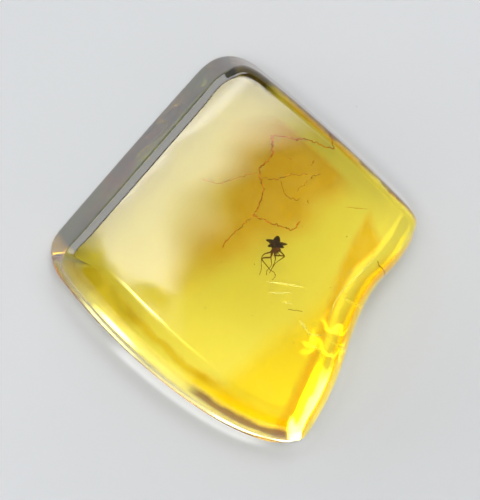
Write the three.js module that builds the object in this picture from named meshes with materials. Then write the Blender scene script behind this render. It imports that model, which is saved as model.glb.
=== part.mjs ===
// A polished piece of amber, ground to a rough four-sided tablet with a low domed face.
//
// It lies on its flat base: millimetres, +Z up, the origin under the middle of its outline.
// One closed body is lofted from rings. Every ring is the same outline, drawn in towards the
// origin, and the rings climb from the base over a rounded foot, up the wall, round the top
// edge and in across the dome.

import * as THREE from 'three';

// ---- Driving dimensions, millimetres and degrees --------------------------------------------

// The crown of the dome above the base, and the radius of the sphere that the face follows.
const CROWN_HEIGHT = 9.0;
const DOME_RADIUS = 75.0;

// Where the ground sides would meet if they were sharp, clockwise from the top corner.
// easeIn and easeOut are how far before and after the corner its rounding starts and ends.
// bow is how far the side that follows stands out from a straight line.
const CORNERS = [
  { x: -0.6, y: 17.85, easeIn: 3.5, easeOut: 3.75, bow: 0.45 },
  { x: 16.05, y: 2.85, easeIn: 2.35, easeOut: 1.8, bow: 0.9 },
  { x: 10.65, y: -3.65, easeIn: 2.8, easeOut: 4.8, bow: 0.9 },
  { x: 5.85, y: -16.55, easeIn: 2.2, easeOut: 0.4, bow: 0.45 },
  { x: 0.2, y: -15.65, easeIn: 4.75, easeOut: 5.7, bow: 1.25 },
  { x: -16.4, y: 0.0, easeIn: 2.95, easeOut: 2.25, bow: 0.1 },
];

// How the edge is worked on each of the four sides, by the direction that the side faces.
// lean is how far the wall draws in from foot to top. round and drop are the width and height
// of the top edge, and bevel is 0 where it is rounded and 1 where it is a flat bevel.
// footRound and footRise are the width and height of the rounded foot.
const EDGES = [
  { facing: 46, lean: 0.3, round: 0.9, drop: 1.6, bevel: 0, footRound: 0.6, footRise: 0.6 },
  { facing: 139, lean: 0.8, round: 0.6, drop: 0.5, bevel: 1, footRound: 0.5, footRise: 0.5 },
  { facing: 229, lean: 0.45, round: 3.4, drop: 4.2, bevel: 0, footRound: 2.0, footRise: 2.2 },
  { facing: 330, lean: 0.5, round: 1.6, drop: 3.0, bevel: 0, footRound: 0.8, footRise: 0.8 },
];

// The share of the turn from one side to the next over which its edge changes.
const EDGE_CHANGE_SHARE = 0.5;

// How finely the body is cut into faces.
const AROUND = 120;
const STEPS_IN_CURVE = 24;
const FOOT_STEPS = 4;
const EDGE_STEPS = 7;
const DOME_STEPS = 6;

// ---- Outline ---------------------------------------------------------------------------------

/** One ground side: a shallow bow from this corner to the next. */
function side(from, to) {
  const start = new THREE.Vector2(from.x, from.y);
  const end = new THREE.Vector2(to.x, to.y);
  const along = end.clone().sub(start).normalize();
  const outward = new THREE.Vector2(-along.y, along.x);
  const middle = start.clone().add(end).multiplyScalar(0.5);
  const control = middle.addScaledVector(outward, 2 * from.bow);
  const length = start.distanceTo(end);
  return {
    curve: new THREE.QuadraticBezierCurve(start, control, end),
    first: from.easeOut / length,
    last: 1 - to.easeIn / length,
  };
}

/** The point where the tangents at two points cross, which rounds the corner between them. */
function tangentCrossing(p, alongP, q, alongQ) {
  const between = q.clone().sub(p);
  const reach = between.cross(alongQ) / alongP.cross(alongQ);
  return p.clone().addScaledVector(alongP, reach);
}

/** The whole outline, clockwise, at even steps and centred on its own box. */
function outline(count) {
  const sides = CORNERS.map((corner, i) => side(corner, CORNERS[(i + 1) % CORNERS.length]));
  const dense = [];
  sides.forEach((next, i) => {
    const before = sides[(i + sides.length - 1) % sides.length];
    const leave = before.curve.getPoint(before.last);
    const join = next.curve.getPoint(next.first);
    const leaveAlong = before.curve.getTangent(before.last);
    const joinAlong = next.curve.getTangent(next.first);
    const control = tangentCrossing(leave, leaveAlong, join, joinAlong);
    const corner = new THREE.QuadraticBezierCurve(leave, control, join);
    for (let k = 0; k < STEPS_IN_CURVE; k += 1) {
      dense.push(corner.getPoint(k / STEPS_IN_CURVE));
    }
    for (let k = 0; k < STEPS_IN_CURVE; k += 1) {
      const share = k / STEPS_IN_CURVE;
      dense.push(next.curve.getPoint(next.first + (next.last - next.first) * share));
    }
  });
  dense.push(dense[0].clone());
  const spaced = new THREE.Shape(dense).getSpacedPoints(count).slice(0, count);
  const centre = new THREE.Box2().setFromPoints(dense).getCenter(new THREE.Vector2());
  return spaced.map((point) => point.sub(centre));
}

/** The outward direction at each point of a clockwise outline. */
function outwardAt(points) {
  const last = points.length;
  return points.map((point, i) => {
    const along = points[(i + 1) % last].clone().sub(points[(i + last - 1) % last]);
    return new THREE.Vector2(-along.y, along.x).normalize();
  });
}

// ---- Edge and face ---------------------------------------------------------------------------

/** The edge at a facing direction in degrees, eased from one worked side to the next. */
function edgeFacing(direction) {
  const count = EDGES.length;
  let index = count - 1;
  let turned = 0;
  let span = 1;
  for (let k = 0; k < count; k += 1) {
    const from = EDGES[k].facing;
    const reach = THREE.MathUtils.euclideanModulo(EDGES[(k + 1) % count].facing - from, 360);
    const offset = THREE.MathUtils.euclideanModulo(direction - from, 360);
    if (offset < reach) {
      index = k;
      turned = offset;
      span = reach;
    }
  }
  const margin = (1 - EDGE_CHANGE_SHARE) / 2;
  const mix = THREE.MathUtils.smoothstep(turned / span, margin, 1 - margin);
  const [a, b] = [EDGES[index], EDGES[(index + 1) % count]];
  const eased = (name) => THREE.MathUtils.lerp(a[name], b[name], mix);
  return {
    lean: eased('lean'),
    round: eased('round'),
    drop: eased('drop'),
    bevel: eased('bevel'),
    footRound: eased('footRound'),
    footRise: eased('footRise'),
  };
}

/** The height of the domed face over a point. */
function dome(x, y) {
  return CROWN_HEIGHT - (x * x + y * y) / (2 * DOME_RADIUS);
}

// ---- Loft ------------------------------------------------------------------------------------

const points = outline(AROUND);
const outward = outwardAt(points);
const edges = outward.map((n) => edgeFacing(THREE.MathUtils.radToDeg(Math.atan2(n.y, n.x))));

// How far the tangent at each point passes from the origin: the scale for drawing a ring in.
const reaches = points.map((point, i) => point.dot(outward[i]));

/** The outline drawn in by inset(i) at each point, at the height that heightAt gives there. */
function ring(inset, heightAt) {
  return points.map((point, i) => {
    const drawn = point.clone().multiplyScalar(1 - inset(i) / reaches[i]);
    return new THREE.Vector3(drawn.x, drawn.y, heightAt(i, drawn));
  });
}

const footRings = [];
for (let k = 0; k <= FOOT_STEPS; k += 1) {
  const angle = (k / FOOT_STEPS) * (Math.PI / 2);
  const inset = (i) => edges[i].footRound * (1 - Math.sin(angle));
  const height = (i) => edges[i].footRise * (1 - Math.cos(angle));
  footRings.push(ring(inset, height));
}

const edgeRings = [];
for (let k = 0; k <= EDGE_STEPS; k += 1) {
  const share = k / EDGE_STEPS;
  const angle = share * (Math.PI / 2);
  const across = (i) => THREE.MathUtils.lerp(1 - Math.cos(angle), share, edges[i].bevel);
  const fall = (i) => THREE.MathUtils.lerp(1 - Math.sin(angle), 1 - share, edges[i].bevel);
  const inset = (i) => edges[i].lean + edges[i].round * across(i);
  const height = (i, p) => dome(p.x, p.y) - edges[i].drop * fall(i);
  edgeRings.push(ring(inset, height));
}

const domeRings = [];
for (let k = 1; k < DOME_STEPS; k += 1) {
  const share = 1 - k / DOME_STEPS;
  domeRings.push(edgeRings[EDGE_STEPS].map((p) => {
    const [x, y] = [p.x * share, p.y * share];
    return new THREE.Vector3(x, y, dome(x, y));
  }));
}

/** One closed body from a stack of rings, with a point closing each end. */
function closedLoft(rings, basePoint, topPoint) {
  const around = rings[0].length;
  const vertices = [basePoint, ...rings.flat(), topPoint];
  const topIndex = vertices.length - 1;
  const at = (r, i) => 1 + r * around + (i % around);
  const faces = [];
  for (let i = 0; i < around; i += 1) {
    faces.push(0, at(0, i), at(0, i + 1));
    for (let r = 0; r + 1 < rings.length; r += 1) {
      faces.push(at(r, i), at(r + 1, i), at(r + 1, i + 1));
      faces.push(at(r, i), at(r + 1, i + 1), at(r, i + 1));
    }
    faces.push(at(rings.length - 1, i), topIndex, at(rings.length - 1, i + 1));
  }
  const geometry = new THREE.BufferGeometry();
  const coordinates = vertices.flatMap((vertex) => vertex.toArray());
  geometry.setAttribute('position', new THREE.Float32BufferAttribute(coordinates, 3));
  geometry.setIndex(faces);
  geometry.computeVertexNormals();
  return geometry;
}

// ---- Model -----------------------------------------------------------------------------------

const resin = new THREE.MeshStandardMaterial({ color: 0xe0bf2c, roughness: 0.05, metalness: 0 });
const rings = [...footRings, ...edgeRings, ...domeRings];
const basePoint = new THREE.Vector3(0, 0, 0);
const crownPoint = new THREE.Vector3(0, 0, dome(0, 0));

const amber = new THREE.Mesh(closedLoft(rings, basePoint, crownPoint), resin);
amber.name = 'amber';

const model = new THREE.Group();
model.add(amber);

export default model;
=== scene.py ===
"""A fossil fly sealed in a polished tablet of clear golden amber, lying on a pale lit ground.

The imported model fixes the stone's place and size. This script builds the fine surface of the
stone, everything that is sealed in it and a plain light studio, all in metres with +Z up.
Sizes in the classes below are millimetres in the stone's own frame: the origin is under the
middle of the outline, on the flat base.
"""

import logging
import math
from dataclasses import dataclass
from enum import Enum
from typing import Iterable, Sequence

import bpy
import numpy as np
from mathutils import Matrix, Vector

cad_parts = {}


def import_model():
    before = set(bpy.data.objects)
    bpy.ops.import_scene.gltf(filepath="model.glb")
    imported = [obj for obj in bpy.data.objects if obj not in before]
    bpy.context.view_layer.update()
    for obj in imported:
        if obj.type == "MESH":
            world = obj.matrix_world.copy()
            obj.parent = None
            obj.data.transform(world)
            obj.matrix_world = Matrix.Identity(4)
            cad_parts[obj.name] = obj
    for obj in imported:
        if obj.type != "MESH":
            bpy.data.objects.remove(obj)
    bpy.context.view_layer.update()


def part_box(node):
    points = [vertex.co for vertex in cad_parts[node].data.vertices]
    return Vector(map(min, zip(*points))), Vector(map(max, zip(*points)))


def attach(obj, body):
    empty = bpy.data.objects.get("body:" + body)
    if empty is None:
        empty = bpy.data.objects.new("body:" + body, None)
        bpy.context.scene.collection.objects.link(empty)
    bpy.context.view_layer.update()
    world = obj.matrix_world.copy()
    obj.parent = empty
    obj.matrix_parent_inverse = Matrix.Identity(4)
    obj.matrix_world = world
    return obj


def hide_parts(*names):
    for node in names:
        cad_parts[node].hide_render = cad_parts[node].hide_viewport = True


LOG = logging.getLogger("amber")
MM = 0.001
STONE_NODE = "amber"
BODY = "root"

Numbers = Sequence[float]
Route = Sequence[tuple[float, float]]


# ---- Shader expressions ------------------------------------------------------------------------


class Nodes:
    """The node tree of one material or world, with one way to add any node."""

    def __init__(self, tree: bpy.types.NodeTree) -> None:
        """Keep the tree that nodes are added to."""
        self.tree = tree

    def add(self, kind: str, settings: dict | None = None, sockets: dict | None = None) -> bpy.types.Node:
        """Add one node.

        Args:
            kind: The node's type, without the leading "ShaderNode".
            settings: Node properties, set first; "stops" lists a ramp's (place, colour) pairs.
            sockets: Input name or index to a number, a tuple, a Value or an output socket.

        Returns:
            The new node.
        """
        node = self.tree.nodes.new("ShaderNode" + kind)
        for name, value in (settings or {}).items():
            if name == "stops":
                self._set_stops(node.color_ramp, value)
            else:
                setattr(node, name, value)
        for name, value in (sockets or {}).items():
            self.feed(node.inputs[name], value)
        return node

    def feed(self, socket: bpy.types.NodeSocket, value: object) -> None:
        """Link a Value or an output to a socket, or set the socket's own value.

        Args:
            socket: The input socket.
            value: A Value, an output socket, a number or a tuple.
        """
        source = value.socket if isinstance(value, Value) else value
        if isinstance(source, bpy.types.NodeSocket):
            self.tree.links.new(source, socket)
        else:
            socket.default_value = source

    def value(self, socket: bpy.types.NodeSocket) -> "Value":
        """Wrap an output so that it can stand in an expression."""
        return Value(self, socket)

    def attribute(self, name: str) -> "Value":
        """Read a number stored on the mesh's points."""
        return self.value(self.add("Attribute", {"attribute_name": name}).outputs["Fac"])

    def place(self, name: str = "Object") -> bpy.types.NodeSocket:
        """Give one of the texture coordinates."""
        return self.add("TexCoord").outputs[name]

    def along(self, vector: bpy.types.NodeSocket, direction: Numbers) -> "Value":
        """Measure a vector along a fixed direction."""
        node = self.add("VectorMath", {"operation": "DOT_PRODUCT"}, {0: vector, 1: tuple(direction)})
        return self.value(node.outputs["Value"])

    def noise(self, vector: bpy.types.NodeSocket, scale: float, detail: float = 3.0) -> "Value":
        """Make a noise value, about 0 to 1, with the scale in waves per metre."""
        sockets = {"Vector": vector, "Scale": scale, "Detail": detail}
        return self.value(self.add("TexNoise", {}, sockets).outputs["Fac"])

    def mix(
        self, factor: "Value | float", first: object, second: object, blend: str = "MIX"
    ) -> bpy.types.NodeSocket:
        """Mix two colours.

        Args:
            factor: How much of the second colour.
            first: A colour tuple or a colour output.
            second: A colour tuple or a colour output.
            blend: The Mix node's blend type.

        Returns:
            The colour output.
        """
        settings = {"data_type": "RGBA", "blend_type": blend, "clamp_result": False}
        colours = {6: with_alpha(first), 7: with_alpha(second)}
        return self.add("Mix", settings, {0: factor, **colours}).outputs[2]

    @staticmethod
    def _set_stops(ramp: bpy.types.ColorRamp, stops: Sequence[tuple[float, Numbers]]) -> None:
        """Give a colour ramp its stops."""
        while len(ramp.elements) < len(stops):
            ramp.elements.new(1.0)
        for element, (position, colour) in zip(ramp.elements, stops):
            element.position = position
            element.color = with_alpha(colour)


class Value:
    """A number in a shader. Arithmetic on it adds Math nodes."""

    def __init__(self, nodes: Nodes, socket: bpy.types.NodeSocket) -> None:
        """Wrap one output of a node."""
        self.nodes = nodes
        self.socket = socket

    def _maths(self, operation: str, *terms: "Value | float") -> "Value":
        """Add one Math node on these terms."""
        node = self.nodes.add("Math", {"operation": operation}, dict(enumerate(terms)))
        return Value(self.nodes, node.outputs[0])

    def __add__(self, other: "Value | float") -> "Value":
        """Add."""
        return self._maths("ADD", self, other)

    def __sub__(self, other: "Value | float") -> "Value":
        """Subtract."""
        return self._maths("SUBTRACT", self, other)

    def __rsub__(self, other: float) -> "Value":
        """Subtract this from a number."""
        return self._maths("SUBTRACT", other, self)

    def __mul__(self, other: "Value | float") -> "Value":
        """Multiply."""
        return self._maths("MULTIPLY", self, other)

    __radd__ = __add__
    __rmul__ = __mul__

    def rise(self, low: float, high: float) -> "Value":
        """Go smoothly from 0 to 1.

        Args:
            low: Where it is 0; this may be the larger of the two.
            high: Where it is 1.

        Returns:
            The share from 0 to 1.
        """
        settings = {"interpolation_type": "SMOOTHSTEP"}
        node = self.nodes.add("MapRange", settings, {"Value": self, "From Min": low, "From Max": high})
        return Value(self.nodes, node.outputs["Result"])


def with_alpha(colour: object) -> object:
    """Give a three-part colour tuple an alpha of 1.

    Args:
        colour: A colour tuple, or anything else, which is left as it is.

    Returns:
        The colour with its alpha, or the same thing.
    """
    if isinstance(colour, (tuple, list)) and len(colour) == 3:
        return (*colour, 1.0)
    return colour


def heading(degrees: float) -> tuple[float, float, float]:
    """Give the level direction at an angle counterclockwise from +X."""
    angle = math.radians(degrees)
    return (math.cos(angle), math.sin(angle), 0.0)


class Side(Enum):
    """The stone's four worked sides, by the heading that each faces."""

    UPPER_RIGHT = 46.0
    UPPER_LEFT = 139.0
    LOWER_LEFT = 229.0
    LOWER_RIGHT = 330.0


UP_LEFT = heading(Side.UPPER_LEFT.value)
UP_RIGHT = heading(Side.UPPER_LEFT.value - 90.0)
SOFT_LIGHT_HEADING = 131.35


# ---- Finishes ----------------------------------------------------------------------------------


def new_material(name: str) -> tuple[bpy.types.Material, Nodes, bpy.types.Node]:
    """Make an empty node material.

    Args:
        name: The material's name.

    Returns:
        The material, its nodes and its Principled node.
    """
    material = bpy.data.materials.new(name)
    material.use_nodes = True
    return material, Nodes(material.node_tree), material.node_tree.nodes["Principled BSDF"]


@dataclass(frozen=True)
class Fade:
    """One soft side of a cloud: where it ends along a heading, in millimetres, and its softness."""

    towards: float
    reach: float
    softness: float


@dataclass(frozen=True)
class Cloud:
    """A tinted cloud on the far side of the stone, bounded by soft straight sides.

    warp is how far its sides wander, in millimetres.
    """

    tint: tuple[float, float, float]
    sides: tuple[Fade, ...]
    warp: float

    def mask(self, nodes: Nodes, place: bpy.types.NodeSocket) -> Value:
        """Work out where the cloud is.

        Args:
            nodes: The material's nodes.
            place: The warped position in the stone's frame, in metres.

        Returns:
            1 inside the cloud and 0 outside.
        """
        parts = [
            nodes.along(place, heading(side.towards)).rise(
                (side.reach + side.softness / 2) * MM, (side.reach - side.softness / 2) * MM
            )
            for side in self.sides
        ]
        mask = parts[0]
        for part in parts[1:]:
            mask = mask * part
        return mask


@dataclass(frozen=True)
class Stripe:
    """A tinted stripe in the skin of one side's edge: painted shade that darkens and tints the edge where
    shade and dark ground are seen through it.

    inset is where it starts and ends, in millimetres in from the outline. along is where it
    starts and ends along the side, counted towards the stone's upper left or upper right.
    """

    side: Side
    tint: tuple[float, float, float]
    inset: tuple[float, float]
    along: tuple[float, float]
    softness: float = 0.3
    side_share: tuple[float, float] = (0.4, 0.9)


@dataclass(frozen=True)
class Resin:
    """Clear golden resin, deeper where it is cloudy, with painted shade on the steep upper-left wall and its
    bevel: a dark slate tint for the dim surroundings that the wall reflects and shows through.
    """

    ior: float = 1.54
    roughness: float = 0.015
    absorption: tuple[float, float, float] = (1.0, 0.94, 0.02)
    density: float = 250.0
    # Painted shade: a dark slate tint on the upper-left wall and a near-black one on its bevel, standing in
    # for the dim surroundings seen in and through them.
    painted_wall_shade: tuple[float, float, float] = (0.02, 0.05, 0.2)
    painted_bevel_shade: tuple[float, float, float] = (0.004, 0.004, 0.012)
    wall_shade_end: tuple[float, float] = (-9.6, -8.4)
    straw: tuple[float, float, float] = (1.0, 0.90, 0.10)
    straw_towards: float = -52.0
    straw_start: float = 6.3
    straw_full: float = 8.8
    base_tint_inset: tuple[float, float] = (2.3, 3.0)
    face_tint_inset: tuple[float, float] = (1.4, 1.8)
    wall_shade_share: tuple[float, float] = (0.25, 0.6)
    warp: float = 1.2
    edge_warp: float = 0.5
    raggedness: float = 0.7
    clouds: tuple[Cloud, ...] = (
        Cloud(
            (0.86, 0.56, 0.02),
            (Fade(93, 11.0, 1.4), Fade(-33, 4.6, 3.0), Fade(153, 3.4, 6.0), Fade(-65, 0.2, 4.0)),
            2.2,
        ),
        Cloud((0.90, 0.62, 0.01), (Fade(158, -8.9, 0.7), Fade(21, 11.4, 1.0)), 0.8),
    )
    # Painted shade: dark and tinted stripes along the edges stand in for the shade and dark ground seen
    # through them.
    edge_shade_stripes: tuple[Stripe, ...] = (
        Stripe(Side.LOWER_LEFT, (0.12, 0.05, 0.001), (1.0, 1.8), (-18.0, -4.0), 0.5),
        Stripe(Side.LOWER_LEFT, (0.80, 0.60, 0.05), (1.6, 3.2), (-18.0, -3.0), 0.9),
        Stripe(Side.LOWER_RIGHT, (0.88, 0.62, 0.02), (0.7, 2.3), (-1.5, 8.0), 0.8),
        Stripe(Side.LOWER_RIGHT, (1.0, 0.90, 0.003), (2.4, 3.8), (-14.0, -1.0), 0.4),
        Stripe(Side.LOWER_LEFT, (0.72, 0.60, 0.20), (1.5, 3.4), (3.5, 10.5), 0.8),
        Stripe(Side.LOWER_LEFT, (0.80, 0.60, 0.10), (2.4, 3.1), (-5.0, 4.5), 0.5),
        Stripe(Side.LOWER_LEFT, (0.80, 0.66, 0.12), (-0.5, 1.7), (8.5, 18.0), 0.4, (0.2, 0.5)),
        Stripe(Side.UPPER_RIGHT, (0.10, 0.06, 0.03), (-0.5, 0.55), (-9.0, 12.0)),
        Stripe(Side.UPPER_RIGHT, (0.03, 0.02, 0.003), (0.3, 1.25), (7.0, 11.6), 0.4, (0.1, 0.35)),
    )

    def material(self) -> bpy.types.Material:
        """Build the resin.

        Returns:
            The material, see-through by transmission, IOR and absorption.
        """
        material, nodes, shader = new_material("amber_resin")
        place = nodes.place()
        warped = self.warped(nodes, place, self.warp)
        base, wall, face = (nodes.attribute(name) for name in ("base", "wall", "face"))
        straw_from, straw_full = self.straw_start * MM, self.straw_full * MM
        towards = nodes.along(warped, heading(self.straw_towards)).rise(straw_from, straw_full)
        depth = towards * (0.75 + 0.5 * nodes.noise(place, 260.0))
        rim = nodes.attribute("inset")
        inside = base * rim.rise(*self.base_tint_inset)
        inner = inside + face * rim.rise(*self.face_tint_inset)
        colour = nodes.mix(inner * depth, (1.0, 1.0, 1.0), self.straw, "MULTIPLY")
        for cloud in self.clouds:
            wander = self.warped(nodes, place, cloud.warp)
            streaks = 0.72 + 0.5 * nodes.noise(wander, 420.0, 5.0)
            colour = nodes.mix(inside * cloud.mask(nodes, wander) * streaks, colour, cloud.tint, "MULTIPLY")
        ragged = self.warped(nodes, place, self.edge_warp)
        leftward = nodes.along(ragged, UP_LEFT)
        rightward = nodes.along(ragged, UP_RIGHT)
        inset = rim + self.raggedness * (nodes.noise(place, 520.0) - 0.5)
        # Painted shade along the edges, one stripe at a time.
        for stripe in self.edge_shade_stripes:
            along = leftward if stripe.side in (Side.LOWER_LEFT, Side.UPPER_RIGHT) else rightward
            mask = self.stripe_mask(stripe, inset, along) * (1.0 - base)
            mask = mask * nodes.attribute(stripe.side.name.lower()).rise(*stripe.side_share)
            colour = nodes.mix(mask, colour, stripe.tint, "MULTIPLY")
        # Painted shade on the upper-left wall and its bevel, ending sharply towards the upper right.
        wall_shade_from, wall_shade_full = (limit * MM for limit in self.wall_shade_end)
        sharp_end = nodes.along(place, UP_RIGHT).rise(wall_shade_from, wall_shade_full)
        wall_shade_mask = nodes.attribute("upper_left").rise(*self.wall_shade_share) * sharp_end
        colour = nodes.mix(wall_shade_mask * wall, colour, self.painted_wall_shade, "MULTIPLY")
        bevel_shade_mask = wall_shade_mask * (1.0 - wall) * (1.0 - base) * face.rise(1.0, 0.97)
        colour = nodes.mix(bevel_shade_mask, colour, self.painted_bevel_shade, "MULTIPLY")
        nodes.feed(shader.inputs["Base Color"], colour)
        shader.inputs["Transmission Weight"].default_value = 1.0
        shader.inputs["Roughness"].default_value = self.roughness
        shader.inputs["IOR"].default_value = self.ior
        volume = nodes.add(
            "VolumeAbsorption", {}, {"Color": (*self.absorption, 1.0), "Density": self.density}
        )
        output = material.node_tree.nodes["Material Output"]
        nodes.feed(output.inputs["Volume"], volume.outputs[0])
        return material

    @staticmethod
    def warped(nodes: Nodes, place: bpy.types.NodeSocket, reach: float) -> bpy.types.NodeSocket:
        """Push positions about with noise.

        Args:
            nodes: The material's nodes.
            place: Positions in the stone's frame, in metres.
            reach: About how far they may be pushed, in millimetres.

        Returns:
            The pushed positions.
        """
        swirl = nodes.add("TexNoise", {}, {"Vector": place, "Scale": 180.0, "Detail": 3.0})
        push = swirl.outputs["Color"]
        steps = (("SUBTRACT", (0.5,) * 3), ("MULTIPLY", (2 * reach * MM,) * 3), ("ADD", place))
        for operation, term in steps:
            push = nodes.add("VectorMath", {"operation": operation}, {0: push, 1: term}).outputs[0]
        return push

    @staticmethod
    def stripe_mask(stripe: Stripe, inset: Value, along: Value) -> Value:
        """Work out where a stripe is.

        Args:
            stripe: The stripe.
            inset: Millimetres in from the outline.
            along: Metres along the stripe's side.

        Returns:
            1 in the stripe and 0 away from it.
        """
        soft = stripe.softness / 2
        near, far = stripe.inset
        start, end = (limit * MM for limit in stripe.along)
        ends = along.rise(start - MM, start + MM) * along.rise(end + MM, end - MM)
        return inset.rise(near - soft, near + soft) * inset.rise(far + soft, far - soft) * ends


@dataclass(frozen=True)
class Chitin:
    """Fossil insect skin: dark and slightly glossy, with a fine grain and lighter rubbed places."""

    name: str
    deep: tuple[float, float, float]
    light: tuple[float, float, float]
    roughness: float = 0.45

    def material(self) -> bpy.types.Material:
        """Build the skin.

        Returns:
            The material.
        """
        material, nodes, shader = new_material(self.name)
        place = nodes.place()
        grain = nodes.noise(place, 5200.0, 4.0)
        patch = nodes.noise(place, 1400.0, 2.0).rise(0.4, 0.75)
        nodes.feed(shader.inputs["Base Color"], nodes.mix(patch, self.deep, self.light))
        nodes.feed(shader.inputs["Roughness"], self.roughness + 0.25 * grain)
        bump = nodes.add("Bump", {}, {"Height": grain, "Strength": 0.5, "Distance": 0.02 * MM})
        nodes.feed(shader.inputs["Normal"], bump.outputs[0])
        return material


@dataclass(frozen=True)
class Membrane:
    """Fly wing: a thin smoky film."""

    tint: tuple[float, float, float] = (0.10, 0.045, 0.02)
    cover: float = 0.72

    def material(self) -> bpy.types.Material:
        """Build the wing film.

        Returns:
            The material.
        """
        material, nodes, shader = new_material("insect_wing")
        place = nodes.place()
        patch = nodes.noise(place, 2600.0, 3.0)
        darker = tuple(part * 0.4 for part in self.tint)
        nodes.feed(shader.inputs["Base Color"], nodes.mix(patch.rise(0.35, 0.7), self.tint, darker))
        nodes.feed(shader.inputs["Alpha"], self.cover + 0.25 * patch)
        shader.inputs["Roughness"].default_value = 0.3
        return material


@dataclass(frozen=True)
class Stain:
    """Iron-stained crack: red-brown, breaking up along its length."""

    name: str
    deep: tuple[float, float, float]
    rust: tuple[float, float, float]
    cover: float

    def material(self) -> bpy.types.Material:
        """Build the stain.

        Returns:
            The material.
        """
        material, nodes, shader = new_material(self.name)
        place = nodes.place()
        patch = nodes.noise(place, 900.0, 2.0).rise(0.38, 0.62)
        beads = nodes.noise(place, 3600.0, 3.0).rise(0.3, 0.6)
        nodes.feed(shader.inputs["Base Color"], nodes.mix(patch, self.deep, self.rust))
        nodes.feed(shader.inputs["Alpha"], self.cover * (0.35 + 0.65 * beads))
        shader.inputs["Roughness"].default_value = 0.7
        return material


@dataclass(frozen=True)
class Veil:
    """Pale flow layer in the resin: faint, brightest along its middle, with a painted glow of its own colour
    for the light it catches.
    """

    name: str
    colour: tuple[float, float, float]
    cover: float
    # Painted light: how strongly the wisps glow, though they are no lamp.
    lit: float = 0.45

    def material(self) -> bpy.types.Material:
        """Build the veil.

        Returns:
            The material.
        """
        material, nodes, shader = new_material(self.name)
        place = nodes.place()
        wisps = nodes.noise(place, 1500.0, 4.0).rise(0.3, 0.7)
        shader.inputs["Base Color"].default_value = (*self.colour, 1.0)
        # Painted light: the wisps glow in their own colour.
        shader.inputs["Emission Color"].default_value = (*self.colour, 1.0)
        shader.inputs["Emission Strength"].default_value = self.lit
        nodes.feed(shader.inputs["Alpha"], nodes.attribute("cover") * (0.5 + 0.5 * wisps) * self.cover)
        shader.inputs["Roughness"].default_value = 0.5
        return material


# ---- Meshes ------------------------------------------------------------------------------------


def add_mesh(name: str, vertices: np.ndarray, faces: Iterable[Sequence[int]]) -> bpy.types.Object:
    """Make a smooth-shaded mesh object from points in millimetres.

    Args:
        name: The object's name.
        vertices: Points, one row each, in millimetres.
        faces: Corner indices of each face.

    Returns:
        The object, linked to the scene.
    """
    mesh = bpy.data.meshes.new(name)
    mesh.from_pydata((np.asarray(vertices) * MM).tolist(), [], list(faces))
    mesh.validate()
    mesh.polygons.foreach_set("use_smooth", [True] * len(mesh.polygons))
    mesh.update()
    thing = bpy.data.objects.new(name, mesh)
    bpy.context.scene.collection.objects.link(thing)
    return thing


def store(thing: bpy.types.Object, name: str, values: np.ndarray) -> None:
    """Store one number on each point of a mesh."""
    attribute = thing.data.attributes.new(name, "FLOAT", "POINT")
    attribute.data.foreach_set("value", np.asarray(values, dtype=np.float32))


def smooth_rise(value: np.ndarray, low: float, high: float) -> np.ndarray:
    """Go smoothly from 0 at low to 1 at high; low may be the larger."""
    share = np.clip((np.asarray(value, dtype=float) - low) / (high - low), 0.0, 1.0)
    return share * share * (3.0 - 2.0 * share)


def ring_faces(rings: int, around: int) -> list[tuple[int, ...]]:
    """List the faces of a closed stack of rings.

    Args:
        rings: How many rings are stacked.
        around: How many points each ring has.

    Returns:
        Faces over points ordered as a base point, the rings and a top point.
    """
    top = 1 + rings * around
    faces: list[tuple[int, ...]] = []
    for i in range(around):
        j = (i + 1) % around
        faces.append((0, 1 + i, 1 + j))
        for ring in range(rings - 1):
            low = 1 + ring * around
            high = low + around
            faces.append((low + i, high + i, high + j, low + j))
        last = 1 + (rings - 1) * around
        faces.append((last + i, top, last + j))
    return faces


def settle(
    thing: bpy.types.Object, material: bpy.types.Material, replaces: Sequence[str] = ()
) -> bpy.types.Object:
    """Dress a piece, fix it to the stone's body and report it.

    Args:
        thing: The piece.
        material: Its finish.
        replaces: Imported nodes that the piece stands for.

    Returns:
        The same piece.
    """
    thing.data.materials.append(material)
    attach(thing, BODY)
    if replaces:
        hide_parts(*replaces)
    LOG.info("%s: %d faces", thing.name, len(thing.data.polygons))
    return thing


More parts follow.
